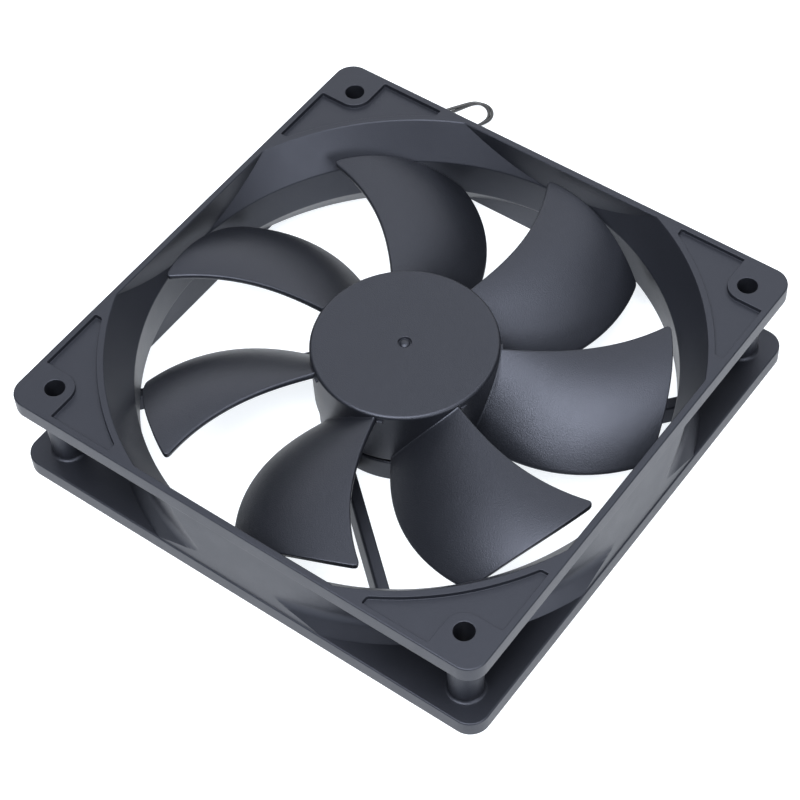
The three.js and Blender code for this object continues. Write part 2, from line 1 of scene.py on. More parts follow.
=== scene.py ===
"""A 120 mm case fan: the fine surfaces and materials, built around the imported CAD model.

Builders work in millimetres, in the model's own frame: +Z up, the origin at the centre of the outlet
face. mesh_object() turns their points into metres.
"""

import math

import bmesh
import bpy
from mathutils import Matrix, Vector


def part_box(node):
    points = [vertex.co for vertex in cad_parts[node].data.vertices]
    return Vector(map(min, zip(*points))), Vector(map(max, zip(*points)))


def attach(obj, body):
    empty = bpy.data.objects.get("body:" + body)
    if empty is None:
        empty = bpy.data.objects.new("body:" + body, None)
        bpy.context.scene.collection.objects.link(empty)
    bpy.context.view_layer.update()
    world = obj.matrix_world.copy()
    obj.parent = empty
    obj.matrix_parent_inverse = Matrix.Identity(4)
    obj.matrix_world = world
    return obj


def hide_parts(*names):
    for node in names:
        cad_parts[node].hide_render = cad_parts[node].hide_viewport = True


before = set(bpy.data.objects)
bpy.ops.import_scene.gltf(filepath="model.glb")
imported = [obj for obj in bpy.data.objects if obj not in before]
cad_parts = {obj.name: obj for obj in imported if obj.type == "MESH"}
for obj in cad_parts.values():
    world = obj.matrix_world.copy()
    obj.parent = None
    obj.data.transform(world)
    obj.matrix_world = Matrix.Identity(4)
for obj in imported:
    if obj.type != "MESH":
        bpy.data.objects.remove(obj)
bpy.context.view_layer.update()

MM = 0.001
SCENE = bpy.context.scene


# ---------------------------------------------------------------- driving dimensions, in millimetres


def extent(node):
    """A CAD node's lowest and highest corners, in millimetres."""
    low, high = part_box(node)
    return low / MM, high / MM


HALF = extent("frame")[1].x
DEPTH = extent("frame")[1].z
CORNER_R = 4.5
FLANGE = 4.2                 # thickness of each flange
EDGE_R = 0.35                # on the flanges' rims
HOLE_AT = 52.5               # screw holes, from each centre line
HOLE_R = 2.15
HOLE_EDGE = 0.28
POST_TOP_R = 4.1
POST_FOOT_R = 3.6
POST_SPREAD = 0.8            # how far a post widens at its foot

THROAT_R = 58.3              # the duct, inside
THROAT_LOW = 8
THROAT_HIGH = 17
MOUTH_R = 63.7
MOUTH_EDGE = 0.2
FLAT = 58.4                  # the flat on each side, from the axis
WALL_FOOT_R = 63.4           # the duct, outside
WALL_WAIST_R = 60.3
WALL_TOP_R = 61.8
PANEL = 59.7

POCKET_DEPTH = 1             # the shallow pocket in each corner of the intake flange
POCKET_EDGE = 58.5
POCKET_ARC_R = 65.3
POCKET_END = 32.4
POCKET_CORNER_R = 0.9        # beside the duct
POCKET_SHARP_R = 0.25        # along the flange's edge
POCKET_LIP = 0.08
POCKET_FOOT = 0.15
BOSS_R = 4.3                 # the land that a pocket leaves round its screw hole

BASE_R = 19.7                # the motor base
BASE_RIM_HIGH = 6.2
BASE_RIM_IN_R = 18.2
FLOOR_LOW = 0.35
FLOOR_HIGH = 1.6
LABEL_RECESS_R = 17.6
SOCKET_R = 4.7
SOCKET_OUT_R = 6
SOCKET_HIGH = 7
STRUTS = 4
STRUT_ANGLE = -40            # degrees
STRUT_OFFSET = 17.4          # a strut's centre line, from the axis
STRUT_HALF = 2
STRUT_START = 9
STRUT_END = 62
WIRE_STRUT = 2               # the strut that holds the lead
WIRE_STRUT_EXTRA = 0.8
CHANNEL_WIDTH = 2.4
CHANNEL_DEPTH = 2.3
CHANNEL_START = -2
CHANNEL_END = 82
BRIDGES = (24, 44, 64)       # where the channel is bridged, along the strut
BRIDGE_LENGTH = 2
BRIDGE_HIGH = 0.35

BLADES = 7
HUB_R = 20.4
HUB_TOP = extent("impeller")[1].z
HUB_LOW = extent("impeller")[0].z
HUB_WALL = 1.2
HUB_ROOF = 21.6
HUB_EDGE_R = 0.75
INSERT_HOLE_R = 3.9          # the pocket for the shaft's insert, under the roof
INSERT_WALL_R = 5.2
INSERT_LOW = 18.5
LEDGE_ANGLE = 34             # degrees, for the first blade's ledge
GATE_R = 1.5                 # the mould's mark at the hub's centre
GATE_DEPTH = 0.5
BLADE_TIP_R = 56.7
BLADE_ROOT_R = 19.8
BLADE_THICKNESS = 1.4
BLADE_REACH = BLADE_TIP_R - HUB_R
BLADE_CHORD = 34
BLADE_EDGE_R = 0.55          # leading and trailing edges
BLADE_TIP_EDGE_R = 0.25
BLADE_FILLET_R = 0.3         # where the blade meets the hub
LEAD_CORNER_R = 1.8          # the tip's two corners, seen from above
TRAIL_CORNER_R = 1
CROWN_SHIFT = 0.127          # moves the height of the camber towards the trailing edge

LEAD_R = 0.8                 # the two wires together
WIRE_R = LEAD_R / 2
WIRE_SHARE = 0.96            # keeps the two wires apart by a hair
LEAD_TWIST = 1 / 34          # turns of the pair per millimetre of lead
EXIT = Vector((-44.4, 60, 1.35))
LIE = 0.85                   # the height of a lead's centre line on the floor
TURN_CENTRE = (-39.2, 81.6)  # the half turn that the lead makes beyond the flange
TURN_R = 3.6
RETURN_X = -31.9             # where the lead, coming back, has turned along the hank
RETURN_R = 5
HANK_RUN = 30
HANK_BEND_R = 4.8
HANK_X = -1
HANK_Y = 66.7
HANK_LIE = 1.15              # the same for the first layer, which lies on the tie
HANK_LAYERS = 3
HANK_IN = HANK_X - HANK_RUN / 2
HANK_OUT = HANK_X + HANK_RUN / 2
HANK_BACK = HANK_Y + HANK_BEND_R
HANK_FRONT = HANK_Y - HANK_BEND_R
LEAD_END = (32.7, 69.5, 2.4)  # at the connector's back

CONNECTOR_EDGE_R = 0.2
CAVITY = 1.8                 # the square hole for each contact
RIB = 0.3                    # the guide ribs' height
TIE_WALL = 0.35
TIE_HEAD = 1.6               # the lock's length
TIE_HEAD_IN = 0.9            # how far the lock is set in from the tie's end


# ---------------------------------------------------------------- camera

CAMERA_AZIMUTH = 39.37       # degrees
CAMERA_ELEVATION = 52.29
CAMERA_ROLL = -4.04
CAMERA_LENS = 102.58
CAMERA_PLACE = (-1.98, 1.75, 501.96)   # right, up and back from the origin, in the camera's own axes


def make_camera():
    azimuth = math.radians(CAMERA_AZIMUTH)
    elevation = math.radians(CAMERA_ELEVATION)
    roll = math.radians(CAMERA_ROLL)
    back = Vector((
        math.sin(azimuth) * math.cos(elevation),
        -math.cos(azimuth) * math.cos(elevation),
        math.sin(elevation),
    ))
    level = Vector((math.cos(azimuth), math.sin(azimuth), 0))
    upright = back.cross(level)
    right = math.cos(roll) * level + math.sin(roll) * upright
    up = math.cos(roll) * upright - math.sin(roll) * level
    data = bpy.data.cameras.new("camera")
    data.lens = CAMERA_LENS
    data.sensor_width = 36
    data.clip_start = 0.01
    data.clip_end = 20
    camera = bpy.data.objects.new("camera", data)
    place = CAMERA_PLACE[0] * right + CAMERA_PLACE[1] * up + CAMERA_PLACE[2] * back
    turn = Matrix((right, up, back)).transposed().to_4x4()
    camera.matrix_world = Matrix.Translation(place * MM) @ turn
    SCENE.collection.objects.link(camera)
    SCENE.camera = camera


make_camera()


# ---------------------------------------------------------------- mesh helpers


def mesh_object(name, points, faces):
    mesh = bpy.data.meshes.new(name)
    mesh.from_pydata([Vector(p) * MM for p in points], [], faces)
    mesh.update()
    piece = bpy.data.objects.new(name, mesh)
    SCENE.collection.objects.link(piece)
    return piece


def rounded(corners, closed=True, step=12):
    """Points of the outline through (x, y, radius) corners, each corner turned into an arc."""
    points = []
    count = len(corners)
    for i, (x, y, radius) in enumerate(corners):
        here = Vector((x, y))
        if radius == 0 or (not closed and i in (0, count - 1)):
            points.append((x, y))
            continue
        before = (Vector(corners[i - 1][:2]) - here).normalized()
        after = (Vector(corners[(i + 1) % count][:2]) - here).normalized()
        half = before.angle(after) / 2
        start = here + before * radius / math.tan(half)
        centre = here + (before + after).normalized() * radius / math.sin(half)
        turn = math.pi - 2 * half
        if before.cross(after) > 0:
            turn = -turn
        arm = start - centre
        steps = max(2, math.ceil(abs(math.degrees(turn)) / step))
        for k in range(steps + 1):
            angle = turn * k / steps
            c, s = math.cos(angle), math.sin(angle)
            points.append((centre.x + c * arm.x - s * arm.y, centre.y + s * arm.x + c * arm.y))
    return points


def grown(outline, distance):
    """The closed outline, counter-clockwise, with each side moved outwards by distance."""
    moved = []
    count = len(outline)
    for i in range(count):
        here = Vector(outline[i])
        before = (here - Vector(outline[i - 1])).normalized()
        after = (Vector(outline[(i + 1) % count]) - here).normalized()
        out = Vector((before.y + after.y, -before.x - after.x)).normalized()
        share = max(0.3, out.dot(Vector((before.y, -before.x))))
        moved.append(tuple(here + out * distance / share))
    return moved


def loft(name, outline, levels):
    """A solid whose section at each (height, growth) level is the outline grown by that much."""
    points, faces = [], []
    count = len(outline)
    for z, growth in levels:
        points += [(x, y, z) for x, y in grown(outline, growth)]
    for level in range(len(levels) - 1):
        low, high = level * count, (level + 1) * count
        for k in range(count):
            n = (k + 1) % count
            faces.append((low + k, low + n, high + n, high + k))
    faces.append(tuple(range(count - 1, -1, -1)))
    faces.append(tuple(range(len(points) - count, len(points))))
    return mesh_object(name, points, faces)


def edge_levels(low, high, radius, steps=3):
    """Levels of a slab whose two rims are rounded by that radius."""
    curve = [math.radians(90 * k / steps) for k in range(steps + 1)]
    foot = [(low + radius * (1 - math.sin(a)), -radius * (1 - math.cos(a))) for a in reversed(curve)]
    top = [(high - radius * (1 - math.sin(a)), -radius * (1 - math.cos(a))) for a in curve]
    return foot + top


def lathe(name, profile, segments, closed=False):
    """A (radius, height) profile turned about Z. It starts and ends on the axis, or is closed."""
    points, rings, faces = [], [], []
    for radius, z in profile:
        count = 1 if radius == 0 else segments
        rings.append([len(points) + k for k in range(count)])
        for k in range(count):
            angle = 2 * math.pi * k / segments
            points.append((radius * math.cos(angle), radius * math.sin(angle), z))
    ends = rings[1:] + ([rings[0]] if closed else [])
    for low, high in zip(rings, ends):
        for k in range(segments):
            n = (k + 1) % segments
            if len(low) == 1:
                faces.append((low[0], high[n], high[k]))
            elif len(high) == 1:
                faces.append((low[k], low[n], high[0]))
            else:
                faces.append((low[k], low[n], high[n], high[k]))
    return mesh_object(name, points, faces)


def prism(name, section, start, end, angle):
    """A bar with an (offset, height) section, along the direction of that angle in degrees."""
    a = math.radians(angle)
    run = Vector((math.cos(a), math.sin(a), 0))
    side = Vector((math.sin(a), -math.cos(a), 0))
    points = [tuple(run * along + side * o + Vector((0, 0, z))) for along in (start, end) for o, z in section]
    count = len(section)
    faces = [(k, (k + 1) % count, count + (k + 1) % count, count + k) for k in range(count)]
    faces.append(tuple(range(count - 1, -1, -1)))
    faces.append(tuple(range(count, 2 * count)))
    bar = mesh_object(name, points, faces)
    outward(bar)
    return bar


def outward(piece):
    """Turns the faces of a closed mesh outwards."""
    work = bmesh.new()
    work.from_mesh(piece.data)
    bmesh.ops.recalc_face_normals(work, faces=work.faces)
    work.to_mesh(piece.data)
    work.free()


def combine(piece, operation, others):
    """Joins, cuts or intersects a piece with others, which are used up."""
    for other in others:
        modifier = piece.modifiers.new(operation, "BOOLEAN")
        modifier.operation = operation
        modifier.solver = "MANIFOLD"
        modifier.object = other
        bpy.context.view_layer.update()
        graph = bpy.context.evaluated_depsgraph_get()
        result = bpy.data.meshes.new_from_object(piece.evaluated_get(graph))
        piece.modifiers.clear()
        old, piece.data = piece.data, result
        bpy.data.meshes.remove(old)
        bpy.data.meshes.remove(other.data)
    return piece


def joined(name, pieces):
    """One object that holds all the pieces' meshes side by side."""
    points, faces = [], []
    for piece in pieces:
        start = len(points)
        points += [v.co / MM for v in piece.data.vertices]
        faces += [tuple(start + i for i in p.vertices) for p in piece.data.polygons]
        bpy.data.meshes.remove(piece.data)
    return mesh_object(name, points, faces)


def smooth(piece, degrees=35):
    """Smooth shading that breaks at edges sharper than this, with flat faces kept flat."""
    work = bmesh.new()
    work.from_mesh(piece.data)
    bmesh.ops.remove_doubles(work, verts=work.verts, dist=1e-7)
    work.to_mesh(piece.data)
    work.free()
    for polygon in piece.data.polygons:
        polygon.use_smooth = True
    piece.data.set_sharp_from_angle(angle=math.radians(degrees))
    weighted = piece.modifiers.new("flat_faces", "WEIGHTED_NORMAL")
    weighted.keep_sharp = True
    weighted.weight = 80
    return piece


def shifted(piece, x, y):
    """The piece, shifted sideways."""
    piece.data.transform(Matrix.Translation(Vector((x, y, 0)) * MM))
    return piece


def turned(piece, degrees):
    """The piece, turned about Z."""
    piece.data.transform(Matrix.Rotation(math.radians(degrees), 4, "Z"))
    return piece


# ---------------------------------------------------------------- materials


class Shader:
    """A small wrapper that builds one node material around a Principled shader."""

    def __init__(self, name):
        self.material = bpy.data.materials.new(name)
        self.material.use_nodes = True
        self.tree = self.material.node_tree
        self.surface = self.tree.nodes["Principled BSDF"]

    def node(self, kind, **inputs):
        made = self.tree.nodes.new(kind)
        for key, value in inputs.items():
            made.inputs[key.replace("_", " ")].default_value = value
        return made

    def link(self, source, target):
        self.tree.links.new(source, target)

    def place(self):
        return self.tree.nodes.new("ShaderNodeTexCoord").outputs["Object"]

    def noise(self, scale, detail=2, roughness=0.5, place=None):
        made = self.node("ShaderNodeTexNoise", Scale=scale, Detail=detail, Roughness=roughness)
        self.link(place or self.place(), made.inputs["Vector"])
        return made.outputs["Fac"]

    def spread(self, value, low, high):
        """Maps a 0 to 1 value onto low to high."""
        made = self.tree.nodes.new("ShaderNodeMapRange")
        made.inputs["To Min"].default_value = low
        made.inputs["To Max"].default_value = high
        self.link(value, made.inputs["Value"])
        return made.outputs["Result"]

    def blend(self, value, first, second):
        made = self.tree.nodes.new("ShaderNodeMix")
        made.data_type = "RGBA"
        made.inputs[6].default_value = (*first, 1)
        made.inputs[7].default_value = (*second, 1)
        self.link(value, made.inputs[0])
        return made.outputs[2]

    def bump(self, height, strength, distance, under=None):
        made = self.node("ShaderNodeBump", Strength=strength, Distance=distance)
        self.link(height, made.inputs["Height"])
        if under:
            self.link(under, made.inputs["Normal"])
        return made.outputs["Normal"]

    def finish(self, color=None, roughness=None, normal=None, **fixed):
        for source, socket in ((color, "Base Color"), (roughness, "Roughness"), (normal, "Normal")):
            if source is None:
                continue
            if isinstance(source, bpy.types.NodeSocket):
                self.link(source, self.surface.inputs[socket])
            else:
                self.surface.inputs[socket].default_value = source
        for key, value in fixed.items():
            self.surface.inputs[key.replace("_", " ")].default_value = value
        return self.material


def moulded_plastic(name, dark, light, smoothest, roughest, grain, gloss=0.5, tint=(1, 1, 1)):
    """Satin plastic: slow changes of tone, and the fine grain that a spark-eroded mould leaves."""
    shader = Shader(name)
    tone = shader.blend(shader.noise(60, 3), dark, light)
    polish = shader.spread(shader.noise(180, 4, 0.6), smoothest, roughest)
    fine = shader.bump(shader.noise(3400, 3, 0.65), grain, 0.00005)
    waves = shader.bump(shader.noise(140, 2), 0.12, 0.0002, fine)
    return shader.finish(tone, polish, waves, Specular_IOR_Level=gloss, Specular_Tint=(*tint, 1))


def turned_metal(name, dark, light, smoothest, roughest):
    """Metal with fine scratches round its axis."""
    shader = Shader(name)
    mapping = shader.tree.nodes.new("ShaderNodeMapping")
    mapping.inputs["Scale"].default_value = (1, 1, 30)
    shader.link(shader.place(), mapping.inputs["Vector"])
    streaks = shader.noise(900, 4, 0.7, mapping.outputs["Vector"])
    tone = shader.blend(shader.noise(300, 3), dark, light)
    polish = shader.spread(streaks, smoothest, roughest)
    return shader.finish(tone, polish, shader.bump(streaks, 0.2, 0.00002), Metallic=1)


def wound_wire(name, dark, light):
    """Enamelled wire, laid turn beside turn up the coil."""
    shader = Shader(name)
    bands = shader.node("ShaderNodeTexWave", Scale=1500, Distortion=0.6, Detail=1)
    bands.bands_direction = "DIAGONAL"
    shader.link(shader.place(), bands.inputs["Vector"])
    tone = shader.blend(bands.outputs["Fac"], dark, light)
    return shader.finish(tone, 0.32, shader.bump(bands.outputs["Fac"], 0.7, 0.00012), Metallic=1)


def sheet_stack(name, dark, light):
    """The edges of thin steel sheets stacked along Z."""
    shader = Shader(name)
    bands = shader.node("ShaderNodeTexWave", Scale=620, Distortion=0.1)
    bands.bands_direction = "Z"
    shader.link(shader.place(), bands.inputs["Vector"])
    tone = shader.blend(bands.outputs["Fac"], dark, light)
    return shader.finish(tone, 0.42, shader.bump(bands.outputs["Fac"], 0.6, 0.0001), Metallic=1)


def coated_board(name, dark, light):
    """Solder mask over copper tracks."""
    shader = Shader(name)
    cells = shader.node("ShaderNodeTexVoronoi", Scale=420)
    cells.feature = "DISTANCE_TO_EDGE"
    shader.link(shader.place(), cells.inputs["Vector"])
    tracks = shader.spread(cells.outputs["Distance"], 0, 4)
    tone = shader.blend(tracks, light, dark)
    return shader.finish(tone, 0.38, shader.bump(tracks, 0.3, 0.00004), Coat_Weight=0.3)


def wire_insulation(name, dark, light):
    """Soft PVC, slightly glossy, with faint drag lines."""
    shader = Shader(name)
    tone = shader.blend(shader.noise(500, 3), dark, light)
    polish = shader.spread(shader.noise(900, 3), 0.3, 0.42)
    return shader.finish(tone, polish, shader.bump(shader.noise(2500, 2), 0.15, 0.00003))


def label_film(name, dark, light):
    """Plain satin film with a faint weave of haze."""
    shader = Shader(name)
    tone = shader.blend(shader.noise(250, 4, 0.6), dark, light)
    polish = shader.spread(shader.noise(400, 3), 0.28, 0.4)
    return shader.finish(tone, polish, shader.bump(shader.noise(600, 2), 0.06, 0.0001))


# The tint of what the black plastic reflects.
BLUE_SHEEN = (0.74, 0.80, 1)
FRAME_PLASTIC = moulded_plastic(
    "frame_plastic", (0.0045, 0.0051, 0.0071), (0.0057, 0.0064, 0.0089), 0.40, 0.50, 0.4, 0.47, BLUE_SHEEN)
ROTOR_PLASTIC = moulded_plastic(
    "rotor_plastic", (0.0045, 0.0051, 0.0070), (0.0057, 0.0064, 0.0087), 0.36, 0.46, 1.0, 0.47, BLUE_SHEEN)
NYLON = moulded_plastic("nylon", (0.74, 0.72, 0.65), (0.80, 0.78, 0.72), 0.38, 0.5, 0.25)
DARK_NYLON = moulded_plastic("dark_nylon", (0.012, 0.012, 0.014), (0.02, 0.02, 0.023), 0.35, 0.5, 0.4)
EPOXY = moulded_plastic("epoxy", (0.010, 0.010, 0.012), (0.018, 0.018, 0.02), 0.45, 0.6, 0.6)
CERAMIC = moulded_plastic("ceramic", (0.17, 0.11, 0.055), (0.22, 0.15, 0.08), 0.4, 0.55, 0.3)
FERRITE = moulded_plastic("ferrite", (0.022, 0.022, 0.024), (0.035, 0.035, 0.037), 0.7, 0.85, 0.8)
STEEL = turned_metal("steel", (0.42, 0.43, 0.45), (0.55, 0.56, 0.58), 0.22, 0.38)
BRASS = turned_metal("brass", (0.55, 0.38, 0.13), (0.66, 0.48, 0.20), 0.22, 0.36)
BRONZE = turned_metal("bronze", (0.28, 0.17, 0.08), (0.38, 0.24, 0.12), 0.5, 0.68)
TINNED = turned_metal("tinned", (0.60, 0.61, 0.62), (0.72, 0.73, 0.74), 0.24, 0.36)
COPPER = wound_wire("copper", (0.30, 0.09, 0.03), (0.62, 0.24, 0.10))
LAMINATIONS = sheet_stack("laminations", (0.10, 0.105, 0.11), (0.34, 0.35, 0.37))
BOARD = coated_board("board", (0.008, 0.075, 0.03), (0.02, 0.14, 0.06))
INSULATION = wire_insulation("insulation", (0.010, 0.011, 0.013), (0.018, 0.019, 0.022))
LABEL = label_film("label", (0.62, 0.63, 0.64), (0.68, 0.69, 0.70))


def paint(piece, material):
    piece.data.materials.clear()
    piece.data.materials.append(material)
    return piece


# ---------------------------------------------------------------- housing


def square(half, radius, step=12):
    corners = [(half, half, radius), (-half, half, radius), (-half, -half, radius), (half, -half, radius)]
    return rounded(corners, step=step)


def duct_void():
    """The hole that the blades run in: a throat flared at both faces, with a flat on each side."""
    over, lip = 1, MOUTH_EDGE
    profile = rounded([
        (0, -over, 0),
        (MOUTH_R + lip, -over, 0),
        (MOUTH_R + lip, 0, 0),
        (MOUTH_R, lip, 0.3),
        (THROAT_R, THROAT_LOW, 0.8),
        (THROAT_R, THROAT_HIGH, 0.8),
        (MOUTH_R, DEPTH - lip, 0.3),
        (MOUTH_R + lip, DEPTH, 0),
        (MOUTH_R + lip, DEPTH + over, 0),
        (0, DEPTH + over, 0),
    ], closed=False, step=3)
    void = lathe("void", profile, 240)
    levels = [(-over, lip), (0, lip), (0.1, lip * 0.5), (lip, 0)]
    levels += [(DEPTH - z, growth) for z, growth in reversed(levels)]
    return combine(void, "INTERSECT", [loft("flats", square(FLAT, 0), levels)])


def duct_wall():
    low, high = FLANGE - 0.2, DEPTH - FLANGE + 0.2
    profile = rounded([
        (0, low, 0),
        (WALL_FOOT_R + 0.15, low, 0),
        (WALL_WAIST_R, THROAT_LOW, 4),
        (WALL_TOP_R, high, 0),
        (0, high, 0),
    ], closed=False, step=4)
    wall = lathe("wall", profile, 240)
    return combine(wall, "INTERSECT", [loft("sides", square(PANEL, 2), [(0, 0), (DEPTH, 0)])])


def corner_post(x, y):
    low, high = 0.5, DEPTH - 1.5
    foot, head = POST_FOOT_R + POST_SPREAD, POST_TOP_R + 0.4
    profile = rounded([
        (0, low, 0),
        (foot, low, 0),
        (foot, FLANGE, 0),
        (POST_FOOT_R, FLANGE, POST_SPREAD * 0.95),
        (POST_TOP_R, DEPTH - FLANGE, 0.35),
        (head, DEPTH - FLANGE, 0),
        (head, high, 0),
        (0, high, 0),
    ], closed=False)
    return shifted(lathe("post", profile, 56), x, y)


def screw_hole(x, y):
    over, rim = 1, HOLE_EDGE
    wide, between = HOLE_R + rim, HOLE_R + rim * 0.3
    profile = [
        (0, -over), (wide, -over), (wide, 0), (between, rim * 0.3), (HOLE_R, rim),
        (HOLE_R, DEPTH - rim), (between, DEPTH - rim * 0.3), (wide, DEPTH), (wide, DEPTH + over),
        (0, DEPTH + over),
    ]
    return shifted(lathe("hole", profile, 48), x, y)


def arc(centre, radius, start, end, steps):
    """Points inside an arc about (centre, centre), without its ends. Angles are in degrees."""
    angles = [math.radians(start + (end - start) * k / steps) for k in range(1, steps)]
    return [(centre + radius * math.cos(a), centre + radius * math.sin(a), 0) for a in angles]


def pocket_outline():
    """One corner's pocket: two arms along the sides, an arc round the duct, and the screw's land."""
    along = math.sqrt(POCKET_ARC_R ** 2 - POCKET_END ** 2)
    land = HOLE_AT - BOSS_R
    first = math.degrees(math.atan2(POCKET_END, along))
    return rounded([
        (POCKET_END, along, POCKET_CORNER_R),
        *arc(0, POCKET_ARC_R, 90 - first, first, 24),
        (along, POCKET_END, POCKET_CORNER_R),
        (POCKET_EDGE, POCKET_END, POCKET_SHARP_R),
        (POCKET_EDGE, land, POCKET_SHARP_R),
        (HOLE_AT, land, 0),
        *arc(HOLE_AT, BOSS_R, 270, 180, 12),
        (land, HOLE_AT, 0),
        (land, POCKET_EDGE, POCKET_SHARP_R),
        (POCKET_END, POCKET_EDGE, POCKET_SHARP_R),
    ])


def pocket(quarter):
    low, lip, foot = DEPTH - POCKET_DEPTH, POCKET_LIP, POCKET_FOOT
    levels = [
        (low, -foot), (low + foot * 0.3, -foot * 0.3), (low + foot, 0), (DEPTH - lip * 1.5, 0),
        (DEPTH - lip * 0.5, lip * 0.3), (DEPTH, lip), (DEPTH + 1, lip),
    ]
    cutter = loft("pocket", pocket_outline(), levels)
    outward(cutter)
    return turned(cutter, 90 * quarter)


def strut(k):
    half = STRUT_HALF + (WIRE_STRUT_EXTRA if k == WIRE_STRUT else 0)
    inner, outer = STRUT_OFFSET - half, STRUT_OFFSET + half
    section = rounded([
        (inner, 0, 0.35), (inner + 0.3, FLANGE, 0.5), (outer - 1, FLANGE, 0.8), (outer, 0, 0.35),
    ])
    return prism("strut", section, STRUT_START, STRUT_END, STRUT_ANGLE + 90 * k)


def motor_base():
    profile = rounded([
        (0, FLOOR_LOW, 0),
        (LABEL_RECESS_R, FLOOR_LOW, 0.1),
        (LABEL_RECESS_R, 0, 0.15),
        (BASE_R, 0, 0.4),
        (BASE_R, BASE_RIM_HIGH, 0.45),
        (BASE_RIM_IN_R, BASE_RIM_HIGH, 0.3),
        (BASE_RIM_IN_R, FLOOR_HIGH, 0.5),
        (SOCKET_OUT_R, FLOOR_HIGH, 0.5),
        (SOCKET_OUT_R - 0.1, SOCKET_HIGH, 0.25),
        (SOCKET_R, SOCKET_HIGH, 0.25),
        (SOCKET_R, FLOOR_HIGH, 0),
        (0, FLOOR_HIGH, 0),
    ], closed=False)
    return lathe("base", profile, 128)


def wire_channel():
    half = CHANNEL_WIDTH / 2
    near, far = STRUT_OFFSET - half, STRUT_OFFSET + half
    section = [(near, -1), (far, -1), (far, CHANNEL_DEPTH), (near, CHANNEL_DEPTH)]
    return prism("channel", section, CHANNEL_START, CHANNEL_END, STRUT_ANGLE + 90 * WIRE_STRUT)


def channel_bridge(start):
    half = CHANNEL_WIDTH / 2 + 0.2
    near, far = STRUT_OFFSET - half, STRUT_OFFSET + half
    section = [(near, 0), (far, 0), (far, BRIDGE_HIGH), (near, BRIDGE_HIGH)]
    return prism("bridge", section, start, start + BRIDGE_LENGTH, STRUT_ANGLE + 90 * WIRE_STRUT)


def frame_piece():
    corners = [(HOLE_AT * i, HOLE_AT * j) for i in (-1, 1) for j in (-1, 1)]
    outline = square(HALF, CORNER_R, 6)
    body = loft("frame_surface", outline, edge_levels(0, FLANGE, EDGE_R))
    upper = loft("upper", outline, edge_levels(DEPTH - FLANGE, DEPTH, EDGE_R))
    combine(body, "UNION", [upper, duct_wall(), *[corner_post(*at) for at in corners]])
    combine(body, "DIFFERENCE", [duct_void(), *[screw_hole(*at) for at in corners]])
    combine(body, "DIFFERENCE", [pocket(quarter) for quarter in range(4)])
    inside = BASE_RIM_IN_R + 0.7
    for k in range(STRUTS):
        core = lathe("core", [(0, -1), (inside, -1), (inside, 9), (0, 9)], 64)
        combine(body, "UNION", [combine(strut(k), "DIFFERENCE", [core])])
    combine(body, "UNION", [motor_base()])
    combine(body, "DIFFERENCE", [wire_channel()])
    combine(body, "UNION", [channel_bridge(start) for start in BRIDGES])
    smooth(body)
    return paint(body, FRAME_PLASTIC)


# ---------------------------------------------------------------- impeller


def blade_skin(t, s):
    """A point on a blade's upper skin: t from the hub to the tip, s from the leading edge back."""
    lead = 31 - 3.5 * t + 15.7 * t ** 2 - 3 * t ** 3
    trail = -12.8 + 9.4 * t + 12.2 * t ** 2 + 1.1 * t ** 3
    lead_height = 22.3 - 0.3 * t ** 2
    trail_height = 8.5 + 2.3 * t + 0.3 * t ** 2
    camber = 2.4 + 2.75 * t - 1.35 * t ** 2
    radius = HUB_R + BLADE_REACH * t
    angle = math.radians(lead + (trail - lead) * s)
    crown = camber * 4 * s * (1 - s) * (1 - CROWN_SHIFT * (1 - 2 * s))
    height = lead_height + (trail_height - lead_height) * s + crown
    return Vector((radius * math.cos(angle), radius * math.sin(angle), height))


def blade_normal(t, s):
    step = 0.004
    along = blade_skin(t + step, s) - blade_skin(t - step, s)
    across = blade_skin(t, s + step) - blade_skin(t, s - step)
    return across.cross(along).normalized()


def rounding(distance, radius):
    """How far a rounded edge of that radius has fallen away, this far in from its end."""
    if distance >= radius:
        return 0
    return radius - math.sqrt(radius ** 2 - (radius - distance) ** 2)


def blade_shares():
    """Where a blade's skin has its points, from the leading edge to the trailing edge, from 0 to 1."""
    near = [BLADE_EDGE_R * (1 - math.cos(math.radians(a))) for a in (0, 20, 40, 60, 90)]
    first = [d / BLADE_CHORD for d in (*near, near[-1] + 0.5)]
    spans = 34
    middle = [first[-1] + (1 - 2 * first[-1]) * k / spans for k in range(1, spans)]
    return first + middle + [1 - share for share in reversed(first)]


def blade_steps(root):
    """The same from the root to the tip, close together at the fillet and at the tip's edge."""
    steps = [root] + [BLADE_FILLET_R * k / 4 / BLADE_REACH for k in range(1, 5)]
    last = 1 - 0.3 / BLADE_REACH
    steps += [steps[-1] + (last - steps[-1]) * k / 24 for k in range(1, 25)]
    edge = [1 - math.sin(math.radians(a)) for a in (30, 60, 90)]
    return steps + [1 - BLADE_TIP_EDGE_R * share / BLADE_REACH for share in edge]


def blade_point(t_plain, s, upper, root):
    """A point of the finished blade: the skin or its underside, with edges and corners rounded off."""
    from_lead, from_trail = s * BLADE_CHORD, (1 - s) * BLADE_CHORD
    corner = max(rounding(from_lead, LEAD_CORNER_R), rounding(from_trail, TRAIL_CORNER_R))
    t = root + (t_plain - root) * (1 - corner / BLADE_REACH / (1 - root))
    fall = max(rounding(from_lead, BLADE_EDGE_R), rounding(from_trail, BLADE_EDGE_R))
    fall += rounding((1 - t_plain) * BLADE_REACH, BLADE_TIP_EDGE_R) * 0.8
    swell = rounding(max(0, t * BLADE_REACH), BLADE_FILLET_R)
    drop = fall - swell if upper else BLADE_THICKNESS - fall + swell
    drop = min(max(drop, -BLADE_FILLET_R), BLADE_THICKNESS + BLADE_FILLET_R)
    return blade_skin(t, s) - blade_normal(t, s) * drop


